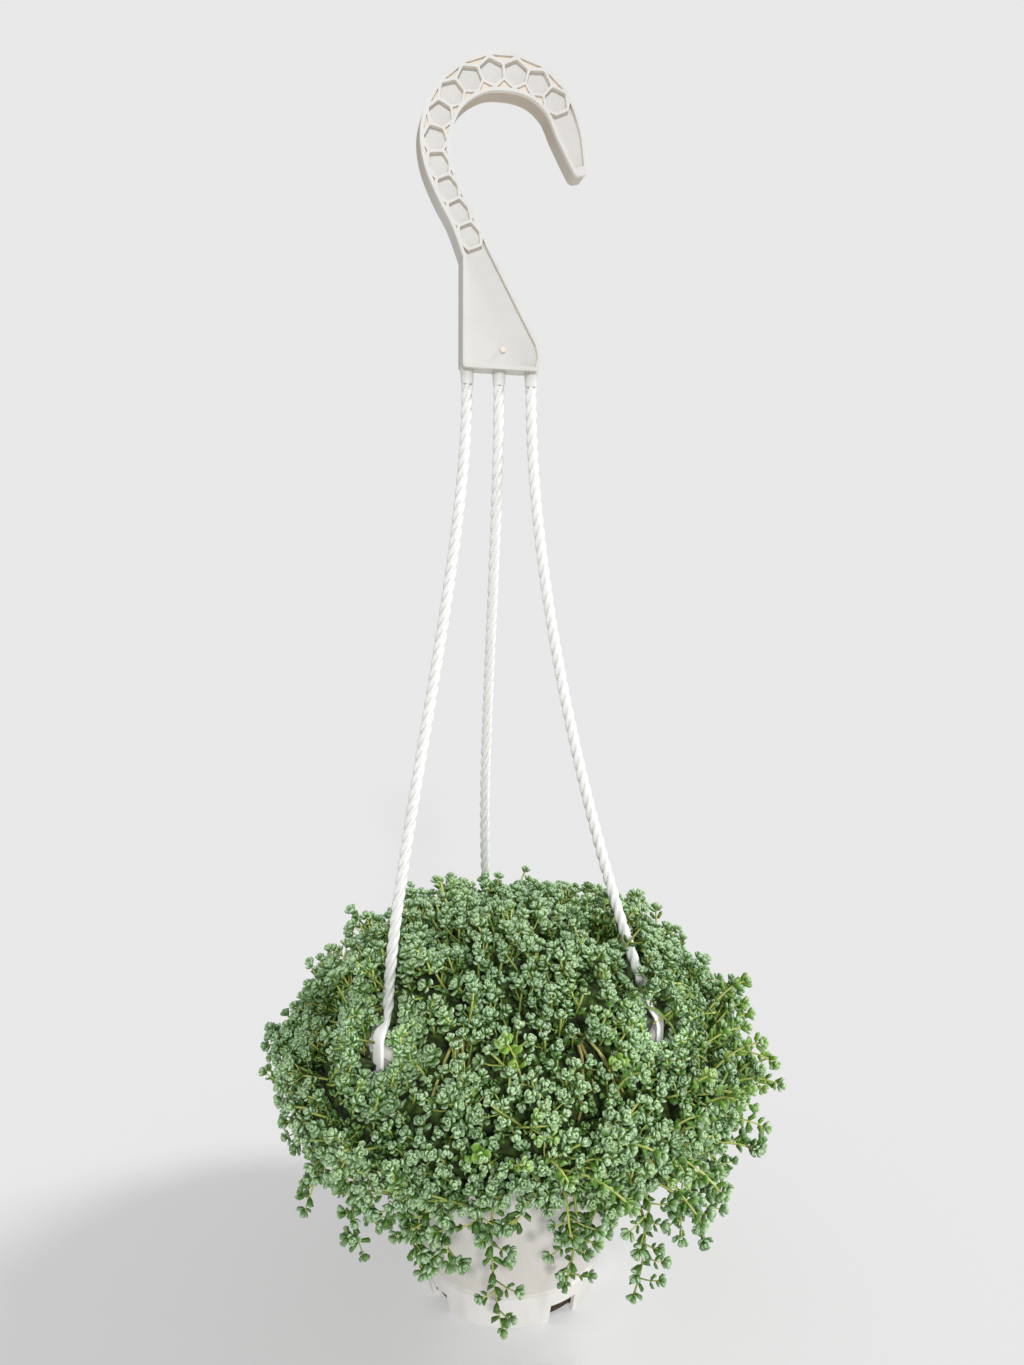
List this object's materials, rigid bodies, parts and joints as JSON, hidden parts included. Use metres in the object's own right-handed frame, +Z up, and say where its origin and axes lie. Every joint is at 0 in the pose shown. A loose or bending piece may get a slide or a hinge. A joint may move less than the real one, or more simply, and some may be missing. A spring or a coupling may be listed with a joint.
{
  "type": "potted sedum",
  "caption": "Succulent sedum in a round mound of small rosettes, in a tapered plastic hanging pot with a clip-on hanger of twisted legs under a flat ribbed hook.",
  "frame": {"origin": "centre of the pot's flat underside", "axes": "+Z up along the pot's axis towards the hook; the flat hook lies in the XZ plane, its mouth opens towards +X, and -Y is the front"},
  "size_m": [0.2652, 0.2606, 0.6122],
  "materials": {
    "pot_plastic": "warm white moulded plastic with a soft sheen",
    "hanger_plastic": "white moulded plastic, satin",
    "soil": "dark brown crumbly potting soil",
    "sedum": "matt blue-green succulent leaves with a powdery bloom"
  },
  "bodies": {
    "root": {"pot": "pot_plastic", "soil": "soil", "hanger_hook": "hanger_plastic", "hanger_leg_1": "hanger_plastic", "hanger_leg_2": "hanger_plastic", "hanger_leg_3": "hanger_plastic", "sprig_1_1": "sedum", "sprig_1_2": "sedum", "sprig_1_3": "sedum", "sprig_2_1": "sedum", "sprig_2_2": "sedum", "sprig_2_3": "sedum", "sprig_2_4": "sedum", "sprig_2_5": "sedum", "sprig_2_6": "sedum", "sprig_3_1": "sedum", "sprig_3_2": "sedum", "sprig_3_3": "sedum", "sprig_3_4": "sedum", "sprig_3_5": "sedum", "sprig_3_6": "sedum", "sprig_3_7": "sedum", "sprig_3_8": "sedum", "sprig_3_9": "sedum", "sprig_4_1": "sedum", "sprig_4_2": "sedum", "sprig_4_3": "sedum", "sprig_4_4": "sedum", "sprig_4_5": "sedum", "sprig_4_6": "sedum", "sprig_4_7": "sedum", "sprig_4_8": "sedum", "sprig_4_9": "sedum", "sprig_5_1": "sedum", "sprig_5_2": "sedum", "sprig_5_3": "sedum", "sprig_5_4": "sedum", "sprig_5_6": "sedum", "sprig_5_7": "sedum", "sprig_5_8": "sedum", "sprig_5_9": "sedum"}
  },
  "joints": []
}
